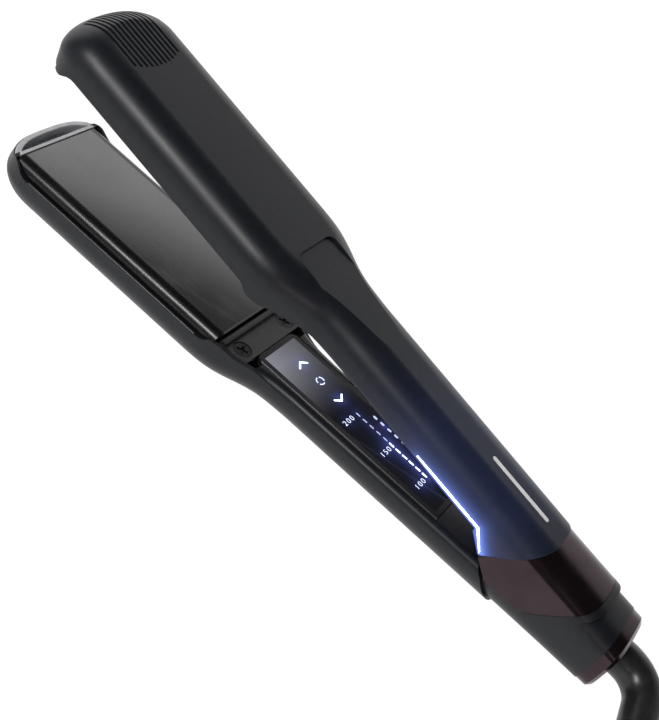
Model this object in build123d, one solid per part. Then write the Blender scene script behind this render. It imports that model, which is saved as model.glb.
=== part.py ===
from build123d import *
import math
import os

os.makedirs("parts", exist_ok=True)

# ------------------------------------------------------------------ driving dimensions (mm)
# Working frame: x = 0 and z = PIVOT_Z is the hinge axis, z = 0 is the inner face of the lower
# handle, +x runs to the tips.  Everything is moved by (OFF_X, 0, OFF_Z) when it is written.
OPEN_DEG = 11.0            # opening between the arms on the stop
PIVOT_Z = 3.65             # hinge axis and mating plane above the lower handle's inner face
HEAD_A = 22.7              # half width of the plate end
HAND_A = 14.5              # half width of the handle
DEPTH = 14.6               # inner face to outer face of an arm
R_OUT = 10.5               # roundover of the outer long edges
R_IN = 3.0                 # roundover of the inner long edges of a handle
WALL = 1.8                 # handle shell wall
HEAD_WALL = 1.5            # plate end shell wall
RIM_Z = -0.5               # side rim of the plate end
NOSE_X0, NOSE_L, NOSE_N = 200.0, 17.2, 2.95  # superelliptic tip in plan, at the mating plane
NOSE_RAKE = 0.30           # the tip grows longer towards the outer face
X_TIP = 219.0              # furthest point of the lower arm
SEAM_X = 112.5             # joint between plate end shell and handle shell
PLATE_X0, PLATE_X1 = 114.8, 209.8
PLATE_A, PLATE_R, PLATE_T = 20.7, 4.0, 2.2
CLOSED_GAP = 0.1           # between the two plates when the arms are closed
FLOAT = 0.8                # inward travel of a sprung plate
DISP_X0, DISP_X1, DISP_A = 22.0, 102.9, 11.1
PIN_R = 2.5
FIT = 0.04                 # radial clearance of running fits
REAR_A = 13.9              # half width of the rear housing
REAR_END = -43.8
RING_END = -48.8
SWIVEL_Z = -1.2            # height of the cord's swivel axis
COLLAR_R = 7.3
RELIEF_R = 6.5             # strain relief radius at the elbow
CORD_D = 6.4
CORD_LEN = 2700.0
FLOOR = -DEPTH
OFF_X = -(X_TIP + RING_END) / 2.0
OFF_Z = DEPTH

ZT = PIVOT_Z - CLOSED_GAP / 2.0     # top of the lower plate and tip rim


# ------------------------------------------------------------------ helpers
def poly(pts):
    """Closed face from points in the XZ plane, given as (x, z)."""
    return make_face(Polyline(*[(p[0], 0, p[1]) for p in pts], close=True))


def slab(pts, y0, y1):
    """Prism of an XZ outline between y0 and y1."""
    f = poly(pts)
    return extrude(f.move(Location((0, y0, 0))), amount=y1 - y0, dir=(0, 1, 0))


def box(x0, x1, y0, y1, z0, z1):
    return Pos((x0 + x1) / 2, (y0 + y1) / 2, (z0 + z1) / 2) * Box(x1 - x0, y1 - y0, z1 - z0)


def cyl_y(x, z, r, y0, y1):
    return Pos(x, (y0 + y1) / 2, z) * Rot(90, 0, 0) * Cylinder(r, y1 - y0)


def cyl_x(x0, x1, r, y=0.0, z=0.0):
    return Pos((x0 + x1) / 2, y, z) * Rot(0, 90, 0) * Cylinder(r, x1 - x0)


def cyl_z(x, y, r, z0, z1):
    return Pos(x, y, (z0 + z1) / 2) * Cylinder(r, z1 - z0)


def one(shape, keep="big"):
    """The solids of a result, as one solid if there is one, or a compound."""
    s = shape.solids() if hasattr(shape, "solids") else ShapeList(shape)
    s = [k for k in s if k.volume > 0.02]
    if keep == "big":
        return sorted(s, key=lambda k: k.volume)[-1]
    return Compound(children=s) if len(s) > 1 else s[0]


def mirror_up(shape):
    """Lower arm part to the closed upper arm's place."""
    return mirror(shape, about=Plane.XY.offset(PIVOT_Z))


def open_up(shape):
    """Closed upper arm's place to its place on the open stop."""
    return Pos(0, 0, PIVOT_Z) * Rot(0, -OPEN_DEG, 0) * Pos(0, 0, -PIVOT_Z) * shape


NECK = [(82.0, 14.5), (88.0, 14.72), (94.5, 15.35), (99.5, 16.7), (104.0, 18.6),
        (108.5, 20.4), (114.0, 21.95), (120.0, 22.6), (125.0, 22.7)]


def outline(inset, x_rear, z):
    """Plan wire of an arm at one height, inset by a wall thickness."""
    a, h = HAND_A - inset, HEAD_A - inset
    neck = [(x, y - inset * (1.0 + (0.06 if 92 < x < 116 else 0.0))) for x, y in NECK]
    neck[0] = (NECK[0][0], a)
    neck[-1] = (NECK[-1][0], h)
    nl = NOSE_L + NOSE_RAKE * (PIVOT_Z - z) - inset
    nose = []
    for k in range(0, 17):
        t = math.pi / 2 - math.pi * k / 16
        c, s = math.cos(t), math.sin(t)
        nose.append((NOSE_X0 + nl * abs(c) ** (2 / NOSE_N), h * math.copysign(abs(s) ** (2 / NOSE_N), s)))
    up = Spline(*neck, tangents=[(1, 0), (1, 0)])
    dn = Spline(*[(x, -y) for x, y in reversed(neck)], tangents=[(-1, 0), (-1, 0)])
    tip = Spline(*nose, tangents=[(1, 0), (-1, 0)])
    e = [Line((x_rear, -a), (x_rear, a)), Line((x_rear, a), neck[0]), up,
         Line(neck[-1], (NOSE_X0, h)), tip, Line((NOSE_X0, -h), (neck[-1][0], -h)), dn,
         Line((neck[0][0], -a), (x_rear, -a))]
    return Wire([q.moved(Location((0, 0, z))) for q in e])


def arm_body(inset, z_top, x_rear=-16.0):
    """Solid of an arm's outer form, opened upwards, rounded on its outer edges."""
    depth = DEPTH - inset
    b = Solid.make_loft([outline(inset, x_rear, -depth), outline(inset, x_rear, z_top)], ruled=True)
    low = [e for e in b.edges().filter_by(lambda q: abs(q.center().Z + depth) < 0.01)
           if e.center().X > x_rear + 0.5]
    return fillet(low, R_OUT - inset)


# rim line of an arm, seen from the side: handle, step behind the plate, side rim, tip
def rim_cut(z_hi=30.0):
    return slab([(-40, 0.0), (104.0, 0.0), (107.5, 0.5), (110.0, 1.5), (112.0, 2.0), (115.6, 2.0),
                 (117.2, 1.3), (118.6, 0.2), (119.8, -0.3), (121.6, RIM_Z), (201.6, RIM_Z),
                 (203.6, -0.25), (205.2, 0.5), (206.8, 1.9), (208.2, 3.0), (209.6, 3.5),
                 (211.0, ZT), (211.45, ZT), (211.45, ZT - 0.9), (240, ZT - 0.9), (240, z_hi), (-40, z_hi)], -40, 40)


SEAM_LO = (5.0, 2 * PIVOT_Z - 2.8)      # slanted rear end of a shell, upper point (lower arm)
SEAM_HI = (-9.0, 2 * PIVOT_Z - 22.3)    # and lower point


def rear_trim_lower():
    """Everything behind the lower shell's rear end."""
    return slab([(3.3, 6.0), (3.3, 0.0), (-0.65, -3.7), (-8.7, FLOOR), (-9.7, FLOOR - 1.5),
                 (-60, FLOOR - 1.5), (-60, 6.0)], -40, 40)


outer = arm_body(0.0, ZT)
outer = outer - rim_cut()
hollow_head = arm_body(HEAD_WALL, ZT + 3.0)
hollow_hand = arm_body(WALL, -2.0)
TRAY_Z, TIP_RIM = -2.0, 2.2          # floor level and rim width of the recess in the tip
hollow_tip = arm_body(TIP_RIM, ZT + 1.0)

parts = {}


def shell_pair():
    # ---- plate end shell
    head = outer & box(SEAM_X, 260, -40, 40, -40, 40)
    cav = hollow_head & box(SEAM_X - 1, 209.9, -40, 40, -40, 40)
    nose_low = hollow_head & box(209.8, 240, -40, 40, -40, 40)
    head = head - cav - nose_low - box(114.3, 209.95, -PLATE_A - 0.25, PLATE_A + 0.25, -3.3, 20)
    # ---- handle shell
    hand = outer & box(-60, SEAM_X, -40, 40, -40, 40)
    top = [e for e in hand.edges() if e.length > 60 and abs(e.center().Z) < 0.01
           and abs(abs(e.center().Y) - HAND_A) < 0.2]
    try:
        hand = fillet(top, R_IN)
    except Exception:
        hand = chamfer(top, R_IN * 0.6)
    cav = hollow_hand & box(-40, SEAM_X + 1, -40, 40, -40, -2.0)
    mouth = box(-40, 100.6, -11.3, 11.3, -3.0, 5.0)
    mouth2 = arm_body(WALL, 6.0) & box(99.4, SEAM_X + 1, -40, 40, -4.0, 8.0)
    hand = hand - cav - mouth - mouth2
    return one(head), one(hand)


head_shell, hand_shell = shell_pair()

# ---- bosses for the two frame screws in the handle shell
SCREW_X, SCREW_Y = 107.8, 12.7
boss = None
for sy in (1, -1):
    b = cyl_z(SCREW_X, sy * SCREW_Y, 2.9, -12.0, -3.1) - cyl_z(SCREW_X, sy * SCREW_Y, 1.5, -11.0, -3.0)
    hand_shell = hand_shell + b

parts["lower_head_shell"] = head_shell
lower_hand = hand_shell - rear_trim_lower()
parts["lower_handle_shell"] = one(lower_hand)

# ------------------------------------------------------------------ lower plate module
def plate_solid():
    x0, x1 = PLATE_X0, PLATE_X1
    b = box(x0, x1, -PLATE_A, PLATE_A, -2.0, ZT)
    long_e = [e for e in b.edges() if e.length > 60 and e.center().Z > 1]
    b = fillet(long_e, PLATE_R)
    ends = [e for e in b.edges() if abs(e.center().Y) < 0.1 and e.center().Z > ZT - 0.1 and e.length > 20]
    b = chamfer(ends, 0.5)
    c = box(x0 - 1, x1 + 1, -PLATE_A + PLATE_T, PLATE_A - PLATE_T, -3, ZT - PLATE_T)
    ce = [e for e in c.edges() if e.length > 60 and e.center().Z > 0]
    c = fillet(ce, PLATE_R - PLATE_T)
    return one(b - c)


parts["lower_plate"] = plate_solid()
HZ = ZT - PLATE_T                      # underside of the plate's working wall
parts["lower_heater"] = box(122, 203, -8.5, 8.5, HZ - 1.3, HZ)
clip = box(119, 206, -11.0, 11.0, HZ - 2.3, HZ - 1.3) - cyl_z(162.3, 0, 2.2, HZ - 4, HZ)
for sy in (1, -1):
    clip = clip + box(119, 206, sy * 10.2 - 0.8, sy * 10.2 + 0.8, HZ - 1.3, HZ)
parts["lower_heater_clip"] = one(clip)
parts["lower_thermistor"] = cyl_z(162.3, 0, 1.5, HZ - 3.2, HZ - 1.3)
# plate frame: the moulded frame that carries the plate and floats with it
fr = box(PLATE_X0 + 1.0, PLATE_X1 - 1.0, -18.1, 18.1, -3.6, -2.2)
fr = fr - box(150, 174, -5, 5, -5, 0)
for sy in (1, -1):
    fr = fr + box(PLATE_X0 + 1.0, PLATE_X1 - 1.0, sy * 16.9 - 1.0, sy * 16.9 + 1.0, -2.2, 0.4)
for xx in (128, 196):
    fr = fr + box(xx - 2, xx + 2, -12.5, 12.5, -2.2, HZ - 2.3)
parts["lower_plate_frame"] = one(fr)
# carrier fixed in the shell
ca = box(114.2, 208.6, -17.9, 17.9, -9.4, -7.8)
for xx, yy in ((126, 12), (126, -12), (198, 12), (198, -12)):
    ca = ca + cyl_z(xx, yy, 1.4, -7.8, -5.6)
ca = ca - box(135, 189, -12, 12, -10, -7)
for yy in (13.4, -13.4):
    ca = ca + box(130, 194, yy - 1.0, yy + 1.0, -11.2, -9.0)
for xx in (120, 204):
    for yy in (9.4, -9.4):
        ca = ca + cyl_z(xx, yy, 2.2, -13.08, -9.4)
parts["lower_carrier"] = one(ca)
pads = [cyl_z(xx, yy, 3.0, -7.8, -3.6) - cyl_z(xx, yy, 1.6, -8, -3)
        for xx, yy in ((126, 12), (126, -12), (198, 12), (198, -12))]
parts["lower_float_pads"] = Compound(children=pads)
parts["lower_heat_shield"] = box(135.5, 188.5, -9.8, 9.8, -10.4, -9.8)
# tip tray: floor and end wall of the D-shaped recess in the tip
tray = arm_body(HEAD_WALL + 0.05, ZT + 1.0) & box(210.05, 240, -40, 40, TRAY_Z - 1.2, ZT)
tray = tray + (arm_body(0.35, ZT + 1.0) & box(211.5, 240, -40, 40, ZT - 0.85, ZT))
tray = tray - (hollow_tip & box(211.3, 240, -40, 40, TRAY_Z, 40))
tray = one(tray)
rim_e = [e for e in tray.edges() if abs(e.center().Z - ZT) < 0.01 and e.length > 20 and e.center().X > 212]
try:
    tray = fillet(rim_e, 0.3)
except Exception:
    print("tip rim left square")
parts["lower_tip_tray"] = tray
# inner frame behind the plate: screw land and raised cross bar
land = arm_body(WALL + 0.15, 3.0) & box(103.05, 114.3, -40, 40, -3.0, -0.1)
bar = box(111.9, 114.3, -18.4, 18.4, -3.0, 2.0)
bar = fillet([e for e in bar.edges() if e.length > 30 and e.center().Z > 1.9], 0.9)
land = land + bar
for sy in (1, -1):
    land = land - cyl_z(SCREW_X, sy * SCREW_Y, 1.7, -5, 1) - cyl_z(SCREW_X, sy * SCREW_Y, 3.55, -1.7, 1)
parts["lower_inner_frame"] = one(land)


def cross_screw(x, y, z_head, r_head=3.4, h=1.3, r=1.45, length=8.0):
    s = cyl_z(x, y, r_head, z_head - h, z_head)
    s = s + cyl_z(x, y, r, z_head - h - length, z_head - h)
    for a in (25, 115):
        s = s - Pos(x, y, z_head - 0.4) * Rot(0, 0, a) * Box(4.2, 0.95, 0.9)
    return one(s)


parts["lower_frame_screws"] = Compound(children=[cross_screw(SCREW_X, sy * SCREW_Y, -0.4) for sy in (1, -1)])

# ------------------------------------------------------------------ display and electronics
bz = box(DISP_X0, DISP_X1, -DISP_A, DISP_A, -2.4, 0.1)
bz = fillet([e for e in bz.edges() if abs(e.center().Z + 1.15) < 0.3 and e.length < 3 and e.center().X > 60], 3.0)
bz = chamfer([e for e in bz.edges() if e.center().Z > 0.05], 0.35)
pn = box(DISP_X0 + 0.8, DISP_X1 - 0.9, -DISP_A + 0.9, DISP_A - 0.9, -1.1, 0.02)
pn = fillet([e for e in pn.edges() if abs(e.center().Z + 0.54) < 0.2 and e.length < 1.5 and e.center().X > 60], 2.2)
seat = box(DISP_X0 + 2.2, DISP_X1 - 2.3, -DISP_A + 2.2, DISP_A - 2.2, -4, 1)
parts["display_bezel"] = one(bz - pn - seat)
parts["display_panel"] = one(pn)
parts["touch_film"] = box(DISP_X0 + 3, DISP_X1 - 3, -8.4, 8.4, -1.45, -1.1)
parts["led_board"] = box(DISP_X0 + 2.6, DISP_X1 - 2.6, -8.6, 8.6, -4.1, -3.1)
leds = []
for k in range(11):
    leds.append(box(35.0 + 3.0 * k, 36.6 + 3.0 * k, -1.7, -0.9, -3.1, -2.3))
for xx in (73.4, 82.6, 91.3):
    leds.append(box(xx - 0.9, xx + 0.9, -2.3, -0.5, -3.1, -2.3))
for xx in (33.9, 49.5, 65.7):
    leds.append(box(xx - 0.9, xx + 0.9, 2.9, 4.5, -3.1, -2.3))
parts["display_leds"] = Compound(children=leds)
parts["main_board"] = box(28, 96, -10.2, 10.2, -8.9, -7.5)
comps = [cyl_z(88, 4.5, 2.6, -11.5, -8.9), box(72, 82, -7, -1, -11.3, -8.9), box(50, 58, -3, 5, -10.4, -8.9),
         box(34, 42, -7, 6, -11.2, -8.9), cyl_z(64, -5.5, 1.8, -11.3, -8.9), cyl_z(64, 5, 1.8, -11.3, -8.9)]
parts["board_components"] = Compound(children=comps)
parts["lower_wiring"] = Compound(children=[cyl_x(96.6, 113.6, 0.8, yy, -10.6) for yy in (-3, 0, 3)])
parts["hinge_front_cover"] = box(5.3, DISP_X0 - 0.1, -DISP_A, DISP_A, -2.0, -0.1)

# ------------------------------------------------------------------ hinge (lower side)
def barrel_profile(y, gap):
    """Distance from the hinge axis to the upper shell's inner surface, less a gap."""
    ri, yc = R_OUT - WALL, HAND_A - WALL - (R_OUT - WALL)
    top = DEPTH - WALL + PIVOT_Z
    if abs(y) <= yc:
        return top - gap
    return top - ri + math.sqrt(max(ri * ri - (abs(y) - yc) ** 2, 0.0)) - gap


def barrel(gap, y_max):
    pts = [(0, -y_max)]
    ys = [-y_max + 2 * y_max * k / 28 for k in range(29)]
    for y in ys:
        pts.append((barrel_profile(y, gap), y))
    pts.append((0, y_max))
    f = make_face(Polyline(*[(p[0], p[1], 0) for p in pts], close=True))
    s = revolve(f, axis=Axis.Y, revolution_arc=360)
    return s.move(Location((0, 0, PIVOT_Z)))


def rear_section(x, a, zt, zb, n=3.5, k=32):
    zc, b = (zt + zb) / 2, (zt - zb) / 2
    pts = []
    for i in range(k):
        t = 2 * math.pi * (i + 0.5) / k
        c, s = math.cos(t), math.sin(t)
        pts.append((x, a * math.copysign(abs(c) ** (2 / n), c), zc + b * math.copysign(abs(s) ** (2 / n), s)))
    return Spline(*pts, periodic=True)


def rear_body(inset, drop=0.0, x0=8.0, x1=-60.0):
    """Rear form: straight underneath, falling on top towards the cord."""
    def zt(x):
        return 19.15 + 0.18 * (x + 12.4) - drop - inset
    zb = -13.6 + inset
    a = REAR_A - inset
    faces = [make_face(Wire([rear_section(x, a, zt(x), zb)])) for x in (x0, x1)]
    return loft(faces, ruled=True)


LIP = [(-1.9, -3.7), (-15.2, -3.75), (-17.0, -3.0), (-18.9, -1.1), (-22.9, 3.1), (-26.2, 6.9), (-29.2, 10.3),
       (-31.6, 12.9), (-34.4, 16.2)]
G = [(-1.9, -3.7), (4.4, 2.3), (2.35, 5.6), (-12.75, 19.85), (-13.6, 24.0), (-34.4, 24.0)]
cover_zone = [(-1.9, -3.7), (4.4, 2.3), (2.35, 5.6), (-12.75, 19.85), (-15.0, 24.0), (-34.4, 24.0)] + list(reversed(LIP[1:]))
skin = rear_body(0.0) & slab(cover_zone, -30, 30)
brl = barrel(0.35, 12.35) & slab([(-14, -3.2), (-1.8, -3.2), (3.6, 2.3), (4.0, 4.0), (4.0, 12.0), (7.4, 17.5), (9.2, 24), (-14, 24)], -20, 20)
cover = skin + brl
cav_rear = rear_body(1.8) & slab([(-33.4, -20), (-9.0, -20), (-9.0, 11.5), (-14.6, 17.0), (-15.5, 30), (-33.4, 30)], -11.0, 11.0)
cav_brl = barrel(1.95, 10.75) & box(-14, 30, -20, 20, -20, 40)
mouth = box(-9.5, 30, -10.75, 10.75, -12, PIVOT_Z + 0.1)
front = slab([(-9.0, 3.0), (30, 3.0), (30, 12.8), (4.6, 12.8), (-4.0, 9.0), (-9.0, 9.0)], -10.75, 10.75)
cover = cover - cav_rear - cav_brl - mouth - front
parts["hinge_cover"] = one(cover)

# rear housing: outside the cover's zone, with a raised lip round the tongue
hz = rear_body(0.35, drop=1.7) & slab([(-0.8, -3.75), (-8.76, FLOOR), (-9.7, FLOOR - 2), (REAR_END, FLOOR - 2),
                                      (REAR_END, 30), (-34.5, 30), (-34.5, 16.4)] +
                                     [(x - 0.12, z - 0.1) for x, z in reversed(LIP[1:-1])], -30, 30)
lip_band = [(x - 0.12, z - 0.1) for x, z in LIP[2:]] + [(-34.6, 30), (-38.6, 30), (-38.2, 17.0), (-34.6, 12.6), (-31.0, 8.0),
            (-26.8, 3.0), (-22.6, -1.4), (-19.5, -4.4)]
lip = rear_body(0.0) & slab(lip_band, -30, 30)
hz = hz + lip
hz_cav = rear_body(2.1, drop=1.7) & box(-41.5, 20, -30, 30, -30, 40)
hz = hz - hz_cav - slab([(-15, 40), (40, 40), (40, -3.7), (-15, -3.7)], -30, 30)
hz = hz - cyl_x(-50, -30, 9.2, 0, SWIVEL_Z)
parts["rear_housing"] = one(hz)

# end ring, end plate and swivel socket
ring = rear_body(0.55, drop=1.7) & box(RING_END, REAR_END, -30, 30, -30, 40)
ring = chamfer([e for e in ring.edges() if abs(e.center().X - RING_END) < 0.02], 1.2)
ring_in = rear_body(3.2, drop=1.7) & box(RING_END - 1, REAR_END + 1, -30, 30, -30, 40)
parts["end_ring"] = one(ring - ring_in)
ep = rear_body(3.3, drop=1.7) & box(RING_END + 0.5, REAR_END, -30, 30, -30, 40)
parts["end_plate"] = one(ep - cyl_x(-60, -30, COLLAR_R + FIT + 0.02, 0, SWIVEL_Z))
sock = cyl_x(-41.4, -38.4, 9.1, 0, SWIVEL_Z) - cyl_x(-45, -35, 3.4, 0, SWIVEL_Z)
parts["swivel_socket"] = sock

# hinge base with two lugs, hinge pin, spring
base = box(-6.5, 22, -6.0, 6.0, -10.3, -8.4) + box(2.0, 20, -5.4, 5.4, -12.3, -10.3)
base = base + box(-6, 6, -6.0, 6.0, -8.4, -6.8) + box(-6, 6, -9.9, 9.9, -6.8, -5.4)
for sy in (1, -1):
    lug = slab([(-6, -6.4), (6, -6.4), (4.8, -2.4), (4.8, PIVOT_Z + 1.5), (2.5, PIVOT_Z + 4.4),
                (-2.5, PIVOT_Z + 4.4), (-4.8, PIVOT_Z + 1.5), (-4.8, -2.4)], sy * 9.1 - 1.05, sy * 9.1 + 1.05)
    base = base + lug
base = base - cyl_y(0, PIVOT_Z, PIN_R + 0.02, -20, 20)
parts["hinge_base"] = one(base)
pin = cyl_y(0, PIVOT_Z, PIN_R, -10.4, 10.4)
parts["hinge_pin"] = chamfer(pin.edges().filter_by(GeomType.CIRCLE), 0.35)
coil = Helix(pitch=1.45, height=1.45 * 4.5, radius=3.7, center=(0, 0, -1.45 * 2.25))
sp = sweep((Plane(origin=coil @ 0, z_dir=coil % 0) * Circle(0.55)), path=coil)
sp = Pos(0, 0, PIVOT_Z) * Rot(90, 0, 0) * sp
parts["torsion_spring"] = one(sp)

# ------------------------------------------------------------------ upper arm
cheek = None
for sy in (1, -1):
    c = slab([(13.2, 2 * PIVOT_Z + 3.2), (12.4, 2 * PIVOT_Z + 0.4), (5.6, 3.05), (4.95, 2.85), (4.2, 3.2),
              (-1.9, 2 * PIVOT_Z + 4.0)],
             sy * (HAND_A - WALL / 2) - WALL / 2, sy * (HAND_A - WALL / 2) + WALL / 2)
    cheek = c if cheek is None else cheek + c
up_hand = mirror_up(hand_shell)
rear_trim_up = slab([(5.0, 2.8), (-9.0, 22.3), (-10.5, 24.4), (-60, 24.4), (-60, 2.8)], -40, 40)
up_hand = up_hand - rear_trim_up
up_hand = up_hand - box(-60, 13.0, -12.7, 12.7, 0, 2 * PIVOT_Z + 10.0) + cheek
# the plain band above the cheeks is solid shell wall again
up_hand = up_hand - slab([(-60, 0), (4.95, 2.75), (5.0, 2.8), (-9.0, 22.3), (-60, 22.3)], -40, 40)
thumb_top = 2 * PIVOT_Z + DEPTH
wedge = slab([(114.4, thumb_top - 0.9), (104.0, thumb_top - 0.85), (86.0, thumb_top - 0.3), (74.0, thumb_top + 0.02),
              (74.0, thumb_top + 3), (114.4, thumb_top + 3)], -10.4, 10.4)
wedge = fillet([e for e in wedge.edges() if abs(e.center().X - 114.4) < 0.1 and abs(abs(e.center().Y) - 10.4) < 0.1], 3.0)
up_hand = up_hand - wedge
parts["upper_handle_shell"] = one(up_hand)

up_head = mirror_up(head_shell) - wedge
# longitudinal vent grooves running over the tip
VENT_N, VENT_PITCH = 11, 2.15
core = mirror_up(arm_body(1.0, ZT + 8))
for k in range(VENT_N):
    y = (k - (VENT_N - 1) / 2) * VENT_PITCH
    x_r = 190.6 + 2.4 * (abs(y) / 10.8) ** 2
    g = box(x_r, 225, y - 0.55, y + 0.55, 2 * PIVOT_Z + 9.2, 2 * PIVOT_Z + 20)
    up_head = up_head - (g - core)
parts["upper_head_shell"] = one(up_head)

for n in ("plate", "heater", "heater_clip", "thermistor", "plate_frame", "carrier", "heat_shield", "tip_tray",
          "inner_frame"):
    parts["upper_" + n] = mirror_up(parts["lower_" + n])
for n in ("float_pads", "frame_screws", "wiring"):
    parts["upper_" + n] = Compound(children=[mirror_up(s) for s in parts["lower_" + n].solids()])

parts["upper_inner_cover"] = box(13.2, DISP_X1, -DISP_A, DISP_A, 2 * PIVOT_Z - 0.1, 2 * PIVOT_Z + 2.2)
# light strips set in the inner corners of the upper handle
strips = []
for sy in (1, -1):
    f = slab([(42, 2 * PIVOT_Z + 3.3), (12.2, 2 * PIVOT_Z + 3.3), (5.4, 4.2), (5.4, 3.6), (12.6, 2 * PIVOT_Z + 2.5),
              (42, 2 * PIVOT_Z + 2.5)], sy * (HAND_A - 0.45) - 0.55, sy * (HAND_A - 0.45) + 0.55)
    strips.append(f)
cut = strips[0] + strips[1]
parts["upper_handle_shell"] = one(parts["upper_handle_shell"] - cut)
arm_env = mirror_up(outer)
parts["upper_light_strips"] = Compound(children=[one(s) for s in strips])

yoke = None
for sy in (1, -1):
    y0, y1 = sorted((sy * 4.6, sy * 7.7))
    k = slab([(-5.0, PIVOT_Z), (5.2, PIVOT_Z), (5.2, 13.5), (-5.0, 13.5)], y0, y1) + cyl_y(0, PIVOT_Z, 5.1, y0, y1)
    yoke = k if yoke is None else yoke + k
yoke = yoke + box(-5.0, 26, -7.7, 7.7, 2 * PIVOT_Z + 2.4, 13.5) + box(13, 26, -11.9, 11.9, 2 * PIVOT_Z + 2.4, 14.6)
yoke = yoke - cyl_y(0, PIVOT_Z, PIN_R + FIT, -20, 20)
parts["hinge_yoke"] = one(yoke)

UPPER_FIXED = ["upper_head_shell", "upper_handle_shell", "upper_tip_tray", "upper_carrier", "upper_heat_shield",
               "upper_inner_frame", "upper_frame_screws", "upper_inner_cover", "upper_light_strips", "hinge_yoke",
               "upper_wiring", "upper_float_pads"]
UPPER_FLOAT = ["upper_plate", "upper_heater", "upper_heater_clip", "upper_thermistor", "upper_plate_frame"]
for n in UPPER_FIXED + UPPER_FLOAT:
    s = parts[n]
    ss = s.solids()
    parts[n] = Compound(children=[open_up(k) for k in ss]) if len(ss) > 1 else open_up(ss[0])

# ------------------------------------------------------------------ swivel, strain relief, cord
collar = cyl_x(-49.6, -41.8, COLLAR_R, 0, SWIVEL_Z)
collar = collar + cyl_x(-43.4, -41.8, 9.0, 0, SWIVEL_Z)
parts["swivel_collar"] = one(collar)

P0 = Vector(-49.6, 0, SWIVEL_Z)
K1 = Vector(-62.8, 0.0, -2.6)
D1 = Vector(-0.24, 0.955, -0.125).normalized()
BEND_R = 11.6
P2 = K1 + D1 * 18.0
elbow_path = FilletPolyline(P0, Vector(-52.2, 0, SWIVEL_Z), K1, P2, radius=[10.0, BEND_R])
elbow = sweep(Plane(origin=P0, z_dir=elbow_path % 0) * Circle(RELIEF_R), path=elbow_path)
REL_END = K1 + D1 * 46.0
tail_len = (REL_END - P2).length
tail = Plane(origin=P2 + D1 * (tail_len / 2), z_dir=D1) * Cone(RELIEF_R - 0.35, CORD_D / 2 + 0.9, tail_len)
for k in range(6):
    c = P2 + D1 * (4.0 + 4.0 * k)
    rr = RELIEF_R - 0.35 + (CORD_D / 2 + 0.9 - RELIEF_R + 0.35) * (4.0 + 4.0 * k) / tail_len
    tail = tail - (Plane(origin=c, z_dir=D1) * (Cylinder(rr + 1, 1.3) - Cylinder(rr - 1.1, 2)))
parts["strain_relief"] = one(elbow + tail)

CZ = FLOOR + CORD_D / 2 + 0.9            # cord centre on the floor, with the tie's thickness below
R_MID, TURNS_R, LAYERS = 38.3, 3, 4
COIL_IN, COIL_OUT = R_MID - 1.5 * CORD_D, R_MID + 1.5 * CORD_D
COIL_C = (-127.9, 34.0)
R_O = COIL_OUT - CORD_D / 2
ANG_IN, ANG_OUT = math.radians(86.0), math.radians(62.0)
tin = Vector(COIL_C[0] + R_O * math.cos(ANG_IN), COIL_C[1] + R_O * math.sin(ANG_IN), CZ)
route = [REL_END, Vector(-76.6, 56.0, CZ + 0.8), Vector(-84.0, 67.6, CZ + 0.1), Vector(-95.8, 74.9, CZ),
         Vector(-110.4, 78.1, CZ), tin]
RADII = []
for i in range(1, len(route) - 1):
    a, b = route[i] - route[i - 1], route[i + 1] - route[i]
    turn = math.radians(a.get_angle(b))
    RADII.append(0.45 * min(a.length, b.length) / math.tan(turn / 2))
print("cord radii", [round(r, 1) for r in RADII], "runs", [round((route[i + 1] - route[i]).length, 1) for i in range(len(route) - 1)])
path = FilletPolyline(*route, radius=RADII)
tube = sweep(Plane(origin=route[0], z_dir=path % 0) * Circle(CORD_D / 2), path=path)
print("cord tube volume", round(tube.volume, 1), "section x length", round(math.pi * CORD_D ** 2 / 4 * path.length, 1))
parts["cord"] = one(tube)
coil_h = CORD_D * LAYERS
cz0 = FLOOR + 0.9
coil_s = Pos(COIL_C[0], COIL_C[1], cz0 + coil_h / 2) * (Cylinder(COIL_OUT, coil_h) - Cylinder(COIL_IN, coil_h + 2))
parts["cord_coil"] = one(coil_s)
TIE_ANG = -25.0
tw, tt = 9.0, 0.8
tie = Box(COIL_OUT - COIL_IN + 2 * tt, tw, coil_h + 2 * tt) - Box(COIL_OUT - COIL_IN, tw + 2, coil_h)
tie = Pos(COIL_C[0], COIL_C[1], cz0 + coil_h / 2) * Rot(0, 0, TIE_ANG) * Pos(R_MID, 0, 0) * tie
parts["coil_tie"] = one(tie - coil_s)

# plug lying on the coil, fed by a short lead from the top of the coil
lead_z = cz0 + coil_h - CORD_D / 2
L0 = Vector(COIL_C[0] + R_O * math.cos(ANG_OUT), COIL_C[1] + R_O * math.sin(ANG_OUT), lead_z)
PLUG_Z = cz0 + coil_h + 0.2 + 6.9        # the plug lies on top of the coil
lead = [L0, Vector(-118.4, 78.1, lead_z + 0.8), Vector(-130.9, 77.7, lead_z + 3.0), Vector(-142.2, 72.6, lead_z + 5.7),
        Vector(-150.9, 63.7, lead_z + 8.3), Vector(-155.5, 52.1, PLUG_Z - 0.2), Vector(-155.5, 40.3, PLUG_Z)]
LR = []
for i in range(1, len(lead) - 1):
    a, b = lead[i] - lead[i - 1], lead[i + 1] - lead[i]
    turn = math.radians(a.get_angle(b))
    LR.append(0.45 * min(a.length, b.length) / math.tan(turn / 2))
print("lead radii", [round(r, 1) for r in LR])
lpath = FilletPolyline(*lead, radius=LR)
ltube = sweep(Plane(origin=lead[0], z_dir=lpath % 0) * Circle(CORD_D / 2), path=lpath)
print("lead volume", round(ltube.volume, 1), "section x length", round(math.pi * CORD_D ** 2 / 4 * lpath.length, 1))
parts["plug_lead"] = one(ltube)
end = lead[-1]
pdir = (lead[-1] - lead[-2]).normalized()
ax = Vector(0, -1, 0)
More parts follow.
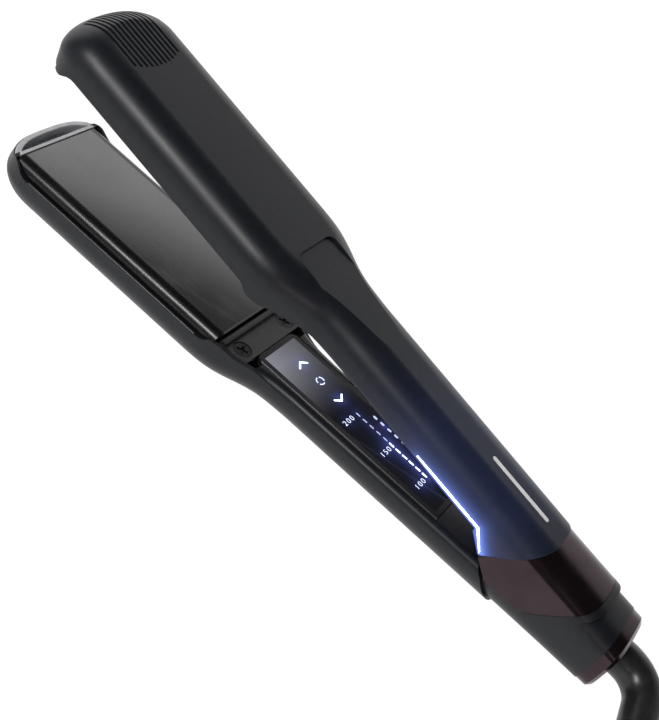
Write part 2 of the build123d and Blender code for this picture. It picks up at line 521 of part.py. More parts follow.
nut = Plane(origin=end + ax * 7.0, x_dir=(1, 0, 0), z_dir=ax) * Cone(5.0, 6.6, 14.0)
bodyp = Plane(origin=end + ax * 25.0, x_dir=(1, 0, 0), z_dir=ax) * Box(26.0, 13.8, 22.0)
bodyp = fillet([e for e in bodyp.edges() if e.length > 20 and abs((e % 0.5).Y) > 0.9], 5.0)
parts["plug_body"] = one(bodyp + nut)
pins = [Pos(end.X + s * 9.5, end.Y - 36.0 - 9.5, end.Z) * Rot(90, 0, 0) * Cylinder(2.0, 19.0) for s in (1, -1)]
parts["plug_pins"] = Compound(children=pins)

print("cord length stated", CORD_LEN)
print("pivot (part frame, mm)", (OFF_X, 0, PIVOT_Z + OFF_Z))
print("relief end", REL_END + Vector(OFF_X, 0, OFF_Z))
for i, p in enumerate(route):
    print("route", i, tuple(round(v, 2) for v in (p.X + OFF_X, p.Y, p.Z + OFF_Z)))
for i, p in enumerate(lead):
    print("lead", i, tuple(round(v, 2) for v in (p.X + OFF_X, p.Y, p.Z + OFF_Z)))

# ------------------------------------------------------------------ write
total = None
for name, s in parts.items():
    s = s.moved(Location((OFF_X, 0, OFF_Z)))
    export_step(s, f"parts/{name}.step")
    bb = s.bounding_box()
    print(f"{name:24s} solids {len(s.solids()):2d} vol {s.volume:10.1f}  x {bb.min.X:8.2f} {bb.max.X:8.2f}  y {bb.min.Y:7.2f} {bb.max.Y:7.2f}  z {bb.min.Z:7.2f} {bb.max.Z:7.2f}")
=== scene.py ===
import bpy
import bmesh
import math
from mathutils import Matrix, Vector


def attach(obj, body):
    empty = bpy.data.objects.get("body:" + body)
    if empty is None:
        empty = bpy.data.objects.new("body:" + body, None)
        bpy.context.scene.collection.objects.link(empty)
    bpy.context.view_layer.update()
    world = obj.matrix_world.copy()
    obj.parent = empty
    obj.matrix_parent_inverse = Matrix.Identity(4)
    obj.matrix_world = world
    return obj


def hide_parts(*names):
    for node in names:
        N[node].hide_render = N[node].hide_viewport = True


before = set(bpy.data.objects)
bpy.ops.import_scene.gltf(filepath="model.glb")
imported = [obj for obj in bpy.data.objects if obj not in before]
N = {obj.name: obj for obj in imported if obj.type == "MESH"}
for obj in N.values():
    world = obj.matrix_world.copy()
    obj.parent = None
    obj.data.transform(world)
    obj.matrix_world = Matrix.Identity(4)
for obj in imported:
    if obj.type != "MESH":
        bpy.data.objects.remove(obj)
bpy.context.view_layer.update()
SCN = bpy.context.scene
COL = SCN.collection
OFF = Vector((-85.1, 0.0, 14.6))          # working frame of the dimensions to the part's frame, mm
PIV = 3.65
RIM = -0.5 + 0.02
TH = math.radians(11.0)


def W(x, y, z):
    return (Vector((x, y, z)) + OFF) / 1000.0


def U(x, y, z):
    """A point of the upper arm, given where it lies when the arms are closed."""
    c, s = math.cos(TH), math.sin(TH)
    return W(c * x - s * (z - PIV), y, s * x + c * (z - PIV) + PIV)


# ------------------------------------------------------------------ camera
cam_data = bpy.data.cameras.new("camera")
cam = bpy.data.objects.new("camera", cam_data)
COL.objects.link(cam)
rgt, upv, bck = Vector((-0.7378, -0.5248, 0.4245)), Vector((0.6559, -0.4090, 0.6344)), Vector((-0.1594, 0.7465, 0.6460))
rot = Matrix((rgt, upv, bck)).transposed()
cam.matrix_world = Matrix.Translation((-0.0643, 0.2947, 0.2807)) @ rot.to_quaternion().to_matrix().to_4x4()
cam_data.lens = 58.99
cam_data.sensor_width = 36.0
cam_data.clip_start, cam_data.clip_end = 0.01, 50
SCN.camera = cam

# ------------------------------------------------------------------ the cord
CORD_D = 0.0064
ROUTE = [(-159.02, 44.26, 6.21), (-161.7, 56.0, 4.9), (-169.1, 67.6, 4.2), (-180.9, 74.9, 4.1), (-195.5, 78.1, 4.1)]
LEAD = [(-192.0, 73.5, 23.3), (-203.5, 78.1, 24.1), (-216.0, 77.7, 26.3), (-227.3, 72.6, 29.0), (-236.0, 63.7, 31.6),
        (-240.6, 52.1, 33.4), (-240.6, 40.3, 33.6)]
CC = (-213.0, 34.0)
RAD = (44.7, 38.3, 31.9)
# cumulative angles where the winding steps to its next radius or its next layer
STEPS_R = [(0, 0, 0), (300, 0, 1), (660, 1, 2), (1325, 2, 1), (1685, 1, 0), (2350, 0, 1), (2710, 1, 2), (3375, 2, 1), (3735, 1, 0)]
STEPS_Z = [(985, 0, 1), (2010, 1, 2), (3035, 2, 3)]


def smooth(t):
    t = max(0.0, min(1.0, t))
    return t * t * (3 - 2 * t)


def coil_point(phi):
    r = RAD[0]
    for a, i, j in STEPS_R[1:]:
        if phi >= a:
            r = RAD[i] + (RAD[j] - RAD[i]) * smooth((phi - a) / 50.0)
    z = 0.0
    for a, i, j in STEPS_Z:
        if phi >= a:
            z = i + (j - i) * smooth((phi - a) / 50.0)
    r += 0.22 * math.sin(math.radians(phi) * 0.83 + 1.1) * (1.0 if 200 < phi < 3900 else 0.0)
    ang = math.radians(86.0 + phi)
    return (CC[0] + r * math.cos(ang), CC[1] + r * math.sin(ang), 4.1 + 6.4 * z)


END_PHI = 336.0 + 360.0 * 10
n_coil = int(round(END_PHI / 22.5))
pts = list(ROUTE) + [coil_point(END_PHI * k / n_coil) for k in range(n_coil + 1)] + LEAD[1:]
cu = bpy.data.curves.new("mains_cord", "CURVE")
cu.dimensions = "3D"
sp = cu.splines.new("NURBS")
sp.points.add(len(pts) - 1)
for q, p in zip(sp.points, pts):
    q.co = (p[0] / 1000, p[1] / 1000, p[2] / 1000, 1.0)
    q.radius = CORD_D / 2
sp.order_u = 3
sp.use_endpoint_u = True
sp.resolution_u = 6
cu.bevel_depth = 1.0            # the points carry the cord's own radius
cu.bevel_resolution = 6
cu.use_fill_caps = True
mains = bpy.data.objects.new("mains_cord", cu)
COL.objects.link(mains)
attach(mains, "swivel_cord")
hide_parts("cord", "cord_coil", "plug_lead")


# ------------------------------------------------------------------ material helpers
class Mat:
    def __init__(self, name, base, rough, metallic=0.0, spec=0.5, coat=0.0, coat_rough=0.05, ior=1.5, sheen=0.0):
        self.m = bpy.data.materials.new(name)
        self.m.use_nodes = True
        self.t = self.m.node_tree
        self.b = self.t.nodes["Principled BSDF"]
        self.b.inputs["Base Color"].default_value = (*base, 1)
        self.b.inputs["Roughness"].default_value = rough
        self.b.inputs["Metallic"].default_value = metallic
        self.b.inputs["Specular IOR Level"].default_value = spec
        self.b.inputs["IOR"].default_value = ior
        self.b.inputs["Coat Weight"].default_value = coat
        self.b.inputs["Coat Roughness"].default_value = coat_rough
        self.b.inputs["Sheen Weight"].default_value = sheen
        self.base, self.rough = base, rough
        self.tc = self.node("ShaderNodeTexCoord")
        self.co = self.tc.outputs["Object"]

    def node(self, kind, **kw):
        n = self.t.nodes.new(kind)
        for k, v in kw.items():
            setattr(n, k, v)
        return n

    def link(self, a, b):
        self.t.links.new(a, b)

    def math(self, op, a, b=None, c=None, clamp=False):
        n = self.node("ShaderNodeMath", operation=op, use_clamp=clamp)
        for i, v in enumerate((a, b, c)):
            if v is None:
                continue
            if isinstance(v, (int, float)):
                n.inputs[i].default_value = v
            else:
                self.link(v, n.inputs[i])
        return n.outputs[0]

    def vmath(self, op, a, b=None, scale=None):
        n = self.node("ShaderNodeVectorMath", operation=op)
        for i, v in enumerate((a, b)):
            if v is None:
                continue
            if isinstance(v, (tuple, list, Vector)):
                n.inputs[i].default_value = tuple(v)
            else:
                self.link(v, n.inputs[i])
        if scale is not None:
            if isinstance(scale, (int, float)):
                n.inputs["Scale"].default_value = scale
            else:
                self.link(scale, n.inputs["Scale"])
        return n

    def noise(self, scale, detail=3.0, rough=0.5, co=None, dist=0.0):
        n = self.node("ShaderNodeTexNoise")
        n.inputs["Scale"].default_value = scale
        n.inputs["Detail"].default_value = detail
        n.inputs["Roughness"].default_value = rough
        n.inputs["Distortion"].default_value = dist
        self.link(co or self.co, n.inputs["Vector"])
        return n.outputs[0]

    def remap(self, v, a, b, lo, hi):
        n = self.node("ShaderNodeMapRange")
        n.inputs["From Min"].default_value = a
        n.inputs["From Max"].default_value = b
        n.inputs["To Min"].default_value = lo
        n.inputs["To Max"].default_value = hi
        self.link(v, n.inputs["Value"])
        return n.outputs[0]

    def mix(self, f, a, b):
        n = self.node("ShaderNodeMix", data_type="RGBA")
        for sock, v in ((n.inputs[0], f), (n.inputs[6], a), (n.inputs[7], b)):
            if isinstance(v, (int, float)):
                sock.default_value = v
            elif isinstance(v, (tuple, list)):
                sock.default_value = (*v, 1) if len(v) == 3 else v
            else:
                self.link(v, sock)
        return n.outputs[2]

    def bump(self, h, strength, dist):
        n = self.node("ShaderNodeBump")
        n.inputs["Strength"].default_value = strength
        n.inputs["Distance"].default_value = dist
        self.link(h, n.inputs["Height"])
        return n.outputs[0]

    def grain(self, scale=5000.0, strength=0.12, dist=0.00003, rough_var=0.05, smudge=0.05, tone=0.25):
        """Fine moulded grain, drifting gloss and a slight change of tone."""
        fine = self.noise(scale, 2.0)
        big = self.noise(35.0, 4.0, 0.6)
        mid = self.noise(420.0, 3.0)
        r = self.remap(fine, 0.3, 0.7, self.rough - rough_var, self.rough + rough_var)
        r2 = self.remap(big, 0.3, 0.7, -smudge, smudge)
        self.link(self.math("ADD", r, r2, clamp=True), self.b.inputs["Roughness"])
        dark = tuple(c * (1 - tone) for c in self.base)
        lite = tuple(min(1, c * (1 + tone)) for c in self.base)
        self.link(self.mix(self.remap(mid, 0.3, 0.7, 0.0, 1.0), dark, lite), self.b.inputs["Base Color"])
        self.link(self.bump(fine, strength, dist), self.b.inputs["Normal"])
        return self

    def scratches(self, amount=0.05, axis_scale=(40, 900, 900)):
        """Hairlines along the length, seen in the gloss."""
        mp = self.node("ShaderNodeMapping")
        mp.inputs["Scale"].default_value = axis_scale
        self.link(self.co, mp.inputs["Vector"])
        s = self.noise(1.0, 4.0, 0.7, co=mp.outputs[0])
        r = self.remap(s, 0.35, 0.7, self.rough - amount * 0.5, self.rough + amount)
        self.link(r, self.b.inputs["Roughness"])
        return s


def assign(node, mat):
    o = N[node]
    o.data.materials.clear()
    o.data.materials.append(mat)


# ------------------------------------------------------------------ materials
def seg_dist(M, p, a, b):
    """Distance from point p to the segment a-b and the place along it, 0 to 1."""
    ab = Vector(b) - Vector(a)
    pa = M.vmath("SUBTRACT", p, tuple(a)).outputs[0]
    t = M.vmath("DOT_PRODUCT", pa, tuple(ab)).outputs["Value"]
    t = M.math("DIVIDE", t, ab.length_squared, clamp=True)
    foot = M.node("ShaderNodeVectorMath", operation="SCALE")
    foot.inputs[0].default_value = tuple(ab)
    M.link(t, foot.inputs["Scale"])
    d = M.vmath("SUBTRACT", pa, foot.outputs[0]).outputs[0]
    return M.vmath("LENGTH", d).outputs["Value"], t


def mirror_y(M):
    """Object position with its y taken positive, for what is the same on both sides."""
    sx = M.node("ShaderNodeSeparateXYZ")
    M.link(M.co, sx.inputs[0])
    cx = M.node("ShaderNodeCombineXYZ")
    M.link(sx.outputs[0], cx.inputs[0])
    M.link(M.math("ABSOLUTE", sx.outputs[1]), cx.inputs[1])
    M.link(sx.outputs[2], cx.inputs[2])
    return cx.outputs[0]


def painted_glow(M, sigma_near, sigma_far, near, far):
    """Painted glow: blue emission on the wall beside the edge strip, standing in for the strip's light bleeding into
    the wall.
    """
    p = mirror_y(M)
    A, B, C = U(42.0, 14.5, 9.9), U(12.1, 14.5, 9.8), U(4.8, 14.5, 4.0)
    d1, t1 = seg_dist(M, p, A, B)
    d2, t2 = seg_dist(M, p, B, C)
    f1 = M.remap(t1, 0.0, 0.55, 0.25, 1.0)
    e1n = M.math("EXPONENT", M.math("DIVIDE", d1, -sigma_near))
    e2n = M.math("EXPONENT", M.math("DIVIDE", d2, -sigma_near))
    e1f = M.math("EXPONENT", M.math("DIVIDE", d1, -sigma_far))
    e2f = M.math("EXPONENT", M.math("DIVIDE", d2, -sigma_far))
    n = M.math("MAXIMUM", M.math("MULTIPLY", e1n, f1), e2n)
    f = M.math("MAXIMUM", e1f, e2f)
    return M.math("ADD", M.math("MULTIPLY", n, near), M.math("MULTIPLY", f, far))


def shell_mat(name, lit=False):
    M = Mat(name, (0.0080, 0.0088, 0.0116), 0.38, spec=0.28)
    M.grain(6500.0, 0.10, 0.00002, 0.04, 0.035, 0.18)
    if lit:
        # painted glow: the shell itself emits blue light near the light strip, though it is no lamp
        g = painted_glow(M, 0.0015, 0.011, 1.35, 0.088)
        M.b.inputs["Emission Color"].default_value = (0.16, 0.27, 1.0, 1)
        M.link(g, M.b.inputs["Emission Strength"])
    return M.m


m_shell = shell_mat("shell_soft_black")
m_shell_painted_glow = shell_mat("shell_soft_black_painted_glow", True)

# plate: dark ceramic over aluminium, near mirror, with a fine fleck; its rounded long edges carry a painted dark
# reflection
P = Mat("plate_ceramic", (0.118, 0.118, 0.121), 0.07, metallic=0.85, spec=0.5)
fleck = P.noise(3200.0, 1.0, 0.5)
wear = P.noise(60.0, 3.0)
s = P.scratches(0.03, (60, 1400, 1400))
psx = P.node("ShaderNodeSeparateXYZ")
P.link(P.co, psx.inputs[0])
edge_rough_and_painted_dark = P.remap(P.math("ABSOLUTE", psx.outputs[1]), 0.0160, 0.0170, 0.0, 1.0)
P.link(P.math("ADD", P.math("ADD", P.remap(s, 0.35, 0.7, 0.05, 0.105), P.remap(wear, 0.35, 0.7, -0.015, 0.03)), P.math("MULTIPLY", edge_rough_and_painted_dark, 0.22), clamp=True),
       P.b.inputs["Roughness"])
speck = P.math("MULTIPLY", P.remap(fleck, 0.52, 0.66, 0.0, 1.0), P.math("ADD", P.math("MULTIPLY", edge_rough_and_painted_dark, -0.02), 0.10))
# painted dark reflection: a near-black base colour on the rounded long edges, where the plate mirrors the dark room
face_tone_painted_dark_edge = P.mix(edge_rough_and_painted_dark, (0.118, 0.118, 0.121), (0.022, 0.022, 0.023))
P.link(P.mix(speck, face_tone_painted_dark_edge, (0.34, 0.34, 0.35)), P.b.inputs["Base Color"])
P.link(P.bump(fleck, 0.03, 0.00001), P.b.inputs["Normal"])
m_plate = P.m

T = Mat("tip_recess_grey", (0.44, 0.445, 0.455), 0.30, spec=0.6)
T.grain(5200.0, 0.06, 0.00002, 0.03, 0.04, 0.15)
m_tip = T.m
F = Mat("inner_frame_black", (0.016, 0.016, 0.018), 0.42, spec=0.45)
F.grain(4200.0, 0.14, 0.00003, 0.05, 0.05, 0.2)
m_frame = F.m
C = Mat("inner_cover_black", (0.010, 0.010, 0.014), 0.3, spec=0.45)
C.grain(4200.0, 0.08, 0.00002, 0.04, 0.05, 0.2)
m_cover = C.m
B = Mat("bezel_gloss", (0.009, 0.009, 0.011), 0.34, spec=0.22)
B.grain(5200.0, 0.01, 0.00001, 0.03, 0.04, 0.2)
m_bezel = B.m

# display panel: gloss black, light bleeding up from behind at its front end and beside the marks
D = Mat("display_gloss", (0.006, 0.006, 0.010), 0.055, spec=0.6, coat=1.0, coat_rough=0.03)
D.scratches(0.02, (60, 900, 900))
sx = D.node("ShaderNodeSeparateXYZ")
D.link(D.co, sx.inputs[0])
front = D.remap(sx.outputs[0], W(69, 0, 0).x, W(95, 0, 0).x, 0.0, 1.0)
front = D.math("POWER", D.math("MAXIMUM", front, 0.0), 1.6)
side = D.remap(sx.outputs[1], -0.012, 0.010, 0.25, 1.0)
wash = D.math("MULTIPLY", D.math("MULTIPLY", front, side), 0.32)
d1, t1 = seg_dist(D, D.co, W(50.5, -1.2, 0), W(33.5, -1.2, 0))
d2, t2 = seg_dist(D, D.co, W(66, -1.4, 0), W(51, -1.2, 0))
h1 = D.math("MULTIPLY", D.math("EXPONENT", D.math("DIVIDE", d1, -0.0017)), 0.30)
h2 = D.math("MULTIPLY", D.math("EXPONENT", D.math("DIVIDE", d2, -0.0017)), 0.07)
halo = D.math("ADD", h1, h2)
for px, py, k in ((91.3, -1.6, 0.30), (82.6, -1.5, 0.10), (73.4, -1.2, 0.30), (65.7, 4.0, 0.10), (49.5, 3.2, 0.12), (33.9, 3.6, 0.14),
                  (56.0, -6.0, 0.20)):
    dv = D.vmath("SUBTRACT", D.co, tuple(W(px, py, 0))).outputs[0]
    dl = D.vmath("LENGTH", dv).outputs["Value"]
    halo = D.math("ADD", halo, D.math("MULTIPLY", D.math("EXPONENT", D.math("DIVIDE", dl, -0.0016)), k))
em = D.node("ShaderNodeEmission")
em.inputs["Color"].default_value = (0.16, 0.22, 1.0, 1)
D.link(halo, em.inputs["Strength"])
em2 = D.node("ShaderNodeEmission")
em2.inputs["Color"].default_value = (0.80, 0.80, 0.95, 1)
D.link(wash, em2.inputs["Strength"])
mixc = D.vmath("SCALE", (0.16, 0.22, 1.0), scale=halo).outputs[0]
mixd = D.vmath("SCALE", (0.80, 0.80, 0.93), scale=wash).outputs[0]
tot = D.vmath("ADD", mixc, mixd).outputs[0]
D.link(tot, D.b.inputs["Emission Color"])
D.b.inputs["Emission Strength"].default_value = 1.0
D.t.nodes.remove(em)
D.t.nodes.remove(em2)
m_panel = D.m

# bronze: dark lacquered metal
Z = Mat("bronze_lacquer", (0.042, 0.028, 0.032), 0.17, metallic=0.92, spec=0.5, coat=0.12, coat_rough=0.06)
Z.scratches(0.05, (60, 900, 900))
bz = Z.noise(90.0, 3.0)
Z.link(Z.mix(Z.remap(bz, 0.35, 0.65, 0.0, 1.0), (0.038, 0.025, 0.028), (0.048, 0.032, 0.037)), Z.b.inputs["Base Color"])
m_bronze = Z.m

K = Mat("steel_ground", (0.55, 0.55, 0.56), 0.3, metallic=1.0)
K.scratches(0.12, (300, 3000, 300))
m_steel = K.m
S = Mat("screw_black_oxide", (0.02, 0.02, 0.022), 0.32, metallic=0.7, spec=0.5)
S.grain(6000.0, 0.15, 0.00003, 0.08, 0.05, 0.3)
m_screw = S.m
G = Mat("green_board", (0.015, 0.10, 0.045), 0.35, spec=0.5)
G.grain(2600.0, 0.2, 0.00003, 0.08, 0.05, 0.35)
m_board = G.m
E = Mat("components_black", (0.03, 0.03, 0.034), 0.35)
E.grain(3600.0, 0.2, 0.00003, 0.08, 0.05, 0.3)
m_comp = E.m
Q = Mat("alumina", (0.80, 0.79, 0.75), 0.5)
Q.grain(5200.0, 0.2, 0.00003, 0.08, 0.05, 0.08)
m_heat = Q.m
R = Mat("silicone_red", (0.45, 0.13, 0.08), 0.5)
R.grain(3600.0, 0.2, 0.00003, 0.05, 0.05, 0.15)
m_pad = R.m
Wm = Mat("wire_silicone", (0.5, 0.5, 0.5), 0.45)
Wm.grain(3600.0, 0.2, 0.00003, 0.05, 0.05, 0.15)
m_wire = Wm.m
CB = Mat("cord_rubber", (0.0135, 0.0135, 0.0145), 0.42, spec=0.4)
CB.grain(3800.0, 0.22, 0.00004, 0.06, 0.05, 0.3)
m_cord = CB.m
RB = Mat("relief_rubber", (0.0125, 0.0127, 0.0132), 0.36, spec=0.42)
RB.grain(4200.0, 0.18, 0.00003, 0.05, 0.05, 0.25)
m_relief = RB.m
PN = Mat("plug_brass", (0.72, 0.66, 0.52), 0.25, metallic=1.0)
PN.scratches(0.1, (900, 60, 900))
m_pin = PN.m
TI = Mat("tie_weave", (0.018, 0.018, 0.020), 0.8, spec=0.25, sheen=0.3)
wv = TI.node("ShaderNodeTexWave", wave_type="BANDS", bands_direction="DIAGONAL")
wv.inputs["Scale"].default_value = 900.0
wv.inputs["Distortion"].default_value = 1.2
wv.inputs["Detail"].default_value = 2.0
TI.link(TI.co, wv.inputs["Vector"])
TI.link(TI.mix(wv.outputs["Fac"], (0.010, 0.010, 0.012), (0.035, 0.035, 0.038)), TI.b.inputs["Base Color"])
TI.link(TI.bump(wv.outputs["Fac"], 0.5, 0.0001), TI.b.inputs["Normal"])
m_tie = TI.m


def light_mat(name, color, strength):
    M = Mat(name, (0.6, 0.7, 1.0), 0.3)
    v = M.noise(600.0, 2.0)
    M.b.inputs["Emission Color"].default_value = (*color, 1)
    M.link(M.remap(v, 0.2, 0.8, strength * 0.92, strength * 1.08), M.b.inputs["Emission Strength"])
    return M.m


m_mark = light_mat("mark_lit", (0.80, 0.86, 1.0), 3.2)
m_figure = light_mat("figure_lit", (0.80, 0.86, 1.0), 1.3)
m_mark_dim = light_mat("mark_dim", (0.55, 0.62, 0.95), 0.5)
m_led = light_mat("led_die", (0.75, 0.85, 1.0), 1.0)

# the strip itself: bright at the bend, fading forwards
LS = Mat("strip_lit", (0.6, 0.7, 1.0), 0.3)
pm = mirror_y(LS)
dA, tA = seg_dist(LS, pm, U(42.0, 14.5, 9.9), U(16.0, 14.5, 9.8))
LS.b.inputs["Emission Color"].default_value = (0.72, 0.83, 1.0, 1)
LS.link(LS.math("MULTIPLY", LS.remap(tA, 0.0, 0.5, 0.15, 1.0), 7.0), LS.b.inputs["Emission Strength"])
m_strip = LS.m

TABLE = {
    m_shell: ["upper_head_shell", "lower_head_shell", "lower_handle_shell", "rear_housing"],
    m_shell_painted_glow: ["upper_handle_shell"],
    m_plate: ["lower_plate", "upper_plate"],
    m_tip: ["lower_tip_tray", "upper_tip_tray"],
    m_frame: ["lower_inner_frame", "upper_inner_frame", "lower_plate_frame", "upper_plate_frame", "lower_carrier",
              "upper_carrier", "hinge_yoke", "hinge_base"],
    m_cover: ["upper_inner_cover", "hinge_front_cover", "end_plate", "touch_film"],
    m_bezel: ["display_bezel"],
    m_panel: ["display_panel"],
    m_bronze: ["hinge_cover", "end_ring"],
    m_steel: ["hinge_pin", "torsion_spring", "lower_heater_clip", "upper_heater_clip", "lower_heat_shield",
              "upper_heat_shield", "swivel_socket"],
    m_screw: ["lower_frame_screws", "upper_frame_screws"],
    m_board: ["main_board", "led_board"],
    m_comp: ["board_components"],
    m_heat: ["lower_heater", "upper_heater", "lower_thermistor", "upper_thermistor"],
    m_pad: ["lower_float_pads", "upper_float_pads"],
    m_wire: ["lower_wiring", "upper_wiring"],
    m_relief: ["strain_relief", "swivel_collar", "plug_body"],
    m_pin: ["plug_pins"],
    m_tie: ["coil_tie"],
    m_led: ["display_leds"],
    m_strip: ["upper_light_strips"],
}
for m, names in TABLE.items():
    for n in names:
        assign(n, m)
cu.materials.append(m_cord)


# ------------------------------------------------------------------ marks on the display
def new_mesh(name, bm, mat, body):
    me = bpy.data.meshes.new(name)
    bm.to_mesh(me)
    bm.free()
    o = bpy.data.objects.new(name, me)
    COL.objects.link(o)
    me.materials.append(mat)
    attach(o, body)
    return o


def prism(bm, pts2, z0, z1, place):
    """A thin raised print: outline given as (x, y), between two heights."""
    lo = [bm.verts.new(place(x, y, z0)) for x, y in pts2]
    hi = [bm.verts.new(place(x, y, z1)) for x, y in pts2]
    bm.faces.new(hi)
    bm.faces.new(list(reversed(lo)))
    n = len(pts2)
    for i in range(n):
        bm.faces.new((lo[i], lo[(i + 1) % n], hi[(i + 1) % n], hi[i]))


def bar(cx, cy, dx, dy, w, r=0.5, k=4):
    """Rounded bar outline: centre, half length vector and width."""
    L = math.hypot(dx, dy)
    ux, uy = dx / L, dy / L
    h = w / 2
    out = []
    for s, a0 in ((1, -90), (-1, 90)):
        for i in range(k + 1):
            a = math.radians(a0 + 180 * i / k)
            lx, ly = h * math.cos(a), h * math.sin(a)
            out.append((cx + s * dx + (lx * ux - ly * uy), cy + s * dy + (lx * uy + ly * ux)))
    return out


Z0, Z1 = 0.015, 0.06
bm = bmesh.new()
for cx, cy, sgn in ((91.3, -1.6, 1), (73.4, -1.2, -1)):
    prism(bm, bar(cx, cy + 1.15, 0.85 * sgn, -1.15, 0.62), Z0, Z1, W)
    prism(bm, bar(cx, cy - 1.15, 0.85 * sgn, 1.15, 0.62), Z0, Z1, W)
for k in range(6):
    x = 49.9 - 2.98 * k
    prism(bm, bar(x, -1.25 + 0.05 * k, 0.85, 0.0, 0.55), Z0, Z1, W)
new_mesh("display_marks_bright", bm, m_mark, "lower_arm")
bm = bmesh.new()
for k in range(5):
    x = 65.2 - 3.1 * k
    prism(bm, bar(x, -1.45 + 0.03 * k, 0.75, 0.0, 0.42), Z0, Z1, W)
for k in range(5):
    prism(bm, bar(60.5 - 3.2 * k, -6.1, 0.45, 0.0, 0.9), Z0, Z1, W)
new_mesh("display_marks_dim", bm, m_mark_dim, "lower_arm")
# a plain ring, broken by three gaps, in place of a word
bm = bmesh.new()
for k in range(24):
    if k % 8 in (6, 7):
        continue
    a0, a1 = 2 * math.pi * k / 24, 2 * math.pi * (k + 1) / 24
    prism(bm, [(82.6 + 1.75 * math.cos(a0), -1.5 + 1.75 * math.sin(a0)), (82.6 + 1.75 * math.cos(a1), -1.5 + 1.75 * math.sin(a1)),
               (82.6 + 1.35 * math.cos(a1), -1.5 + 1.35 * math.sin(a1)), (82.6 + 1.35 * math.cos(a0), -1.5 + 1.35 * math.sin(a0))],
          Z0, Z1, W)
new_mesh("display_mark_ring", bm, light_mat("mark_soft", (0.75, 0.8, 1.0), 1.1), "lower_arm")

for txt, px, py in (("200", 65.7, 4.0), ("150", 49.5, 3.2), ("100", 33.9, 3.6)):
    tcu = bpy.data.curves.new("figures_" + txt, "FONT")
    tcu.body = txt
    tcu.size = 0.0029
    tcu.space_character = 1.3
    tcu.offset = -0.00005
    tcu.align_x, tcu.align_y = "CENTER", "CENTER"
    tcu.extrude = 0.00002
    tmp = bpy.data.objects.new("tmp_" + txt, tcu)
    COL.objects.link(tmp)
    bpy.context.view_layer.update()
    me = bpy.data.meshes.new_from_object(tmp.evaluated_get(bpy.context.evaluated_depsgraph_get()))
    bpy.data.objects.remove(tmp)
    o = bpy.data.objects.new("figures_" + txt, me)
    COL.objects.link(o)
    R3 = Matrix(((0, 1, 0), (-1, 0, 0), (0, 0, 1)))
    me.transform(Matrix.Translation(W(px, py, 0.045)) @ R3.to_4x4() @ Matrix.Diagonal((1.12, 1.0, 1.0, 1.0)))
    me.materials.clear()
    me.materials.append(m_figure)
    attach(o, "lower_arm")

# satin bead along the inner side rim of both heads: a real rounded rim edge, with a painted highlight in its lighter
# grey finish than the shell
rim_highlight_mat = Mat("rim_satin_painted_highlight", (0.075, 0.075, 0.08), 0.38, metallic=0.2, spec=0.4)
rim_highlight_mat.grain(5200.0, 0.01, 0.00001, 0.04, 0.04, 0.15)
for arm, place, body in (("lower", W, "lower_arm"), ("upper", lambda x, y, z: U(x, y, 2 * PIV - z), "upper_arm")):
    for side, sg in (("near", 1), ("far", -1)):
        rc = bpy.data.curves.new(f"{arm}_rim_{side}", "CURVE")
        rc.dimensions = "3D"
        rs = rc.splines.new("POLY")
        rp = [(122.2, 22.30, RIM), (201.0, 22.30, RIM)]
        rs.points.add(len(rp) - 1)
        for q, p in zip(rs.points, rp):
            q.co = (*place(p[0], sg * p[1], p[2]), 1.0)
        rc.bevel_depth = 0.00030
        rc.bevel_resolution = 4
        rc.use_fill_caps = True
        tmp = bpy.data.objects.new("tmp_rim", rc)
        COL.objects.link(tmp)
        bpy.context.view_layer.update()
        rm = bpy.data.meshes.new_from_object(tmp.evaluated_get(bpy.context.evaluated_depsgraph_get()))
        bpy.data.objects.remove(tmp)
        for pl in rm.polygons:
            pl.use_smooth = True
        ro = bpy.data.objects.new(f"{arm}_rim_{side}", rm)
        COL.objects.link(ro)
        rm.materials.clear()
        rm.materials.append(rim_highlight_mat.m)
        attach(ro, body)

# plain pale bar on the upper handle where a name would be
bm = bmesh.new()
prism(bm, bar(12.5, 0.0, 12.6, 0.0, 1.7, k=8), 21.86, 21.93, U)
PL = Mat("pale_print", (0.80, 0.80, 0.80), 0.45)
PL.grain(3000.0, 0.1, 0.00002, 0.05, 0.05, 0.06)
new_mesh("accent_bar", bm, PL.m, "upper_arm")

# ------------------------------------------------------------------ studio
floor_me = bpy.data.meshes.new("studio_floor")
R_F = 4.0
bm = bmesh.new()
bmesh.ops.create_circle(bm, cap_ends=True, radius=R_F, segments=64)
bm.to_mesh(floor_me)
bm.free()
floor = bpy.data.objects.new("studio_floor", floor_me)
floor.location = (0, 0, -0.0002)
COL.objects.link(floor)
fm = bpy.data.materials.new("floor_pale")
fm.use_nodes = True
ft = fm.node_tree
for n in list(ft.nodes):
    ft.nodes.remove(n)
fo = ft.nodes.new("ShaderNodeOutputMaterial")
fa = ft.nodes.new("ShaderNodeAddShader")
fd = ft.nodes.new("ShaderNodeBsdfDiffuse")
fd.inputs["Color"].default_value = (0.16, 0.16, 0.16, 1)
fe = ft.nodes.new("ShaderNodeEmission")
fe.inputs["Color"].default_value = (1, 1, 1, 1)
fe.inputs["Strength"].default_value = 0.95
ft.links.new(fd.outputs[0], fa.inputs[0])
ft.links.new(fe.outputs[0], fa.inputs[1])
ft.links.new(fa.outputs[0], fo.inputs[0])
floor_me.materials.append(fm)

world = bpy.data.worlds.new("studio")
SCN.world = world
world.use_nodes = True
wt = world.node_tree
bg = wt.nodes["Background"]
tc = wt.nodes.new("ShaderNodeTexCoord")
sx = wt.nodes.new("ShaderNodeSeparateXYZ")
wt.links.new(tc.outputs["Generated"], sx.inputs[0])


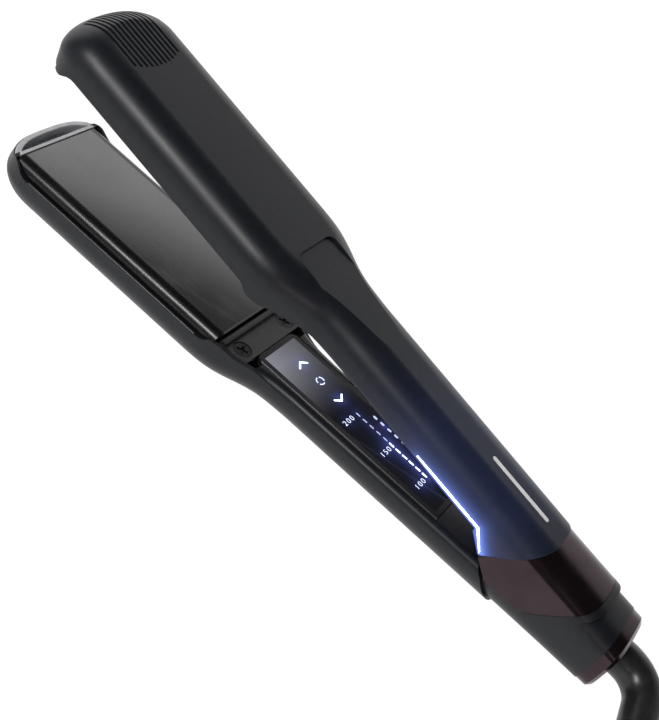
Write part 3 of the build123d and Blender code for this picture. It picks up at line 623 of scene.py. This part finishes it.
def wmap(v, a, b, lo, hi):
    n = wt.nodes.new("ShaderNodeMapRange")
    n.interpolation_type = "SMOOTHSTEP"
    wt.links.new(v, n.inputs["Value"])
    for nm, q in (("From Min", a), ("From Max", b), ("To Min", lo), ("To Max", hi)):
        n.inputs[nm].default_value = q
    return n.outputs[0]


def wmath(op, a, b):
    n = wt.nodes.new("ShaderNodeMath")
    n.operation = op
    for k, q in enumerate((a, b)):
        if isinstance(q, (int, float)):
            n.inputs[k].default_value = q
        else:
            wt.links.new(q, n.inputs[k])
    return n.outputs[0]


# a dark ceiling, a bright wall behind and a dim room in front
rear_wall = wmath("MULTIPLY", wmap(sx.outputs[1], -0.10, 0.10, 1.5, 0.10), wmap(sx.outputs[0], -0.55, -0.15, 0.30, 1.0))
room = wmath("MULTIPLY", rear_wall, wmap(sx.outputs[2], 0.60, 0.66, 1.0, 0.0))
sky = wmath("ADD", room, wmap(sx.outputs[2], 0.60, 0.66, 0.0, 0.045))
wt.links.new(sky, bg.inputs[1])
bg.inputs[0].default_value = (1.0, 1.0, 1.0, 1)


def softbox(name, direction, dist, size_x, size_y, radiance, centre=(0.02, 0, 0.03), along=(1, 0, 0), color=(1, 1, 1)):
    """A rectangular soft light of a given radiance, seen from the part in one direction."""
    d = Vector(direction).normalized()
    L = bpy.data.lights.new(name, "AREA")
    L.shape = "RECTANGLE"
    L.size, L.size_y = size_x, size_y
    L.energy = radiance * math.pi * size_x * size_y
    L.color = color
    o = bpy.data.objects.new(name, L)
    COL.objects.link(o)
    z = d
    x = (Vector(along) - z * Vector(along).dot(z)).normalized()
    y = z.cross(x)
    o.matrix_world = Matrix.Translation(Vector(centre) + d * dist) @ Matrix((x, y, z)).transposed().to_4x4()
    return o


softbox("key_strip", (0.24, 0.75, 0.62), 1.1, 0.50, 0.12, 50.0)
softbox("rear_strip", (-0.50, 0.78, 0.30), 1.1, 0.26, 0.14, 9.0, centre=(-0.1, 0, 0.03), color=(1.0, 0.90, 0.94))

SCN.view_settings.view_transform = "Standard"
SCN.view_settings.look = "None"
SCN.view_settings.exposure = 0.0
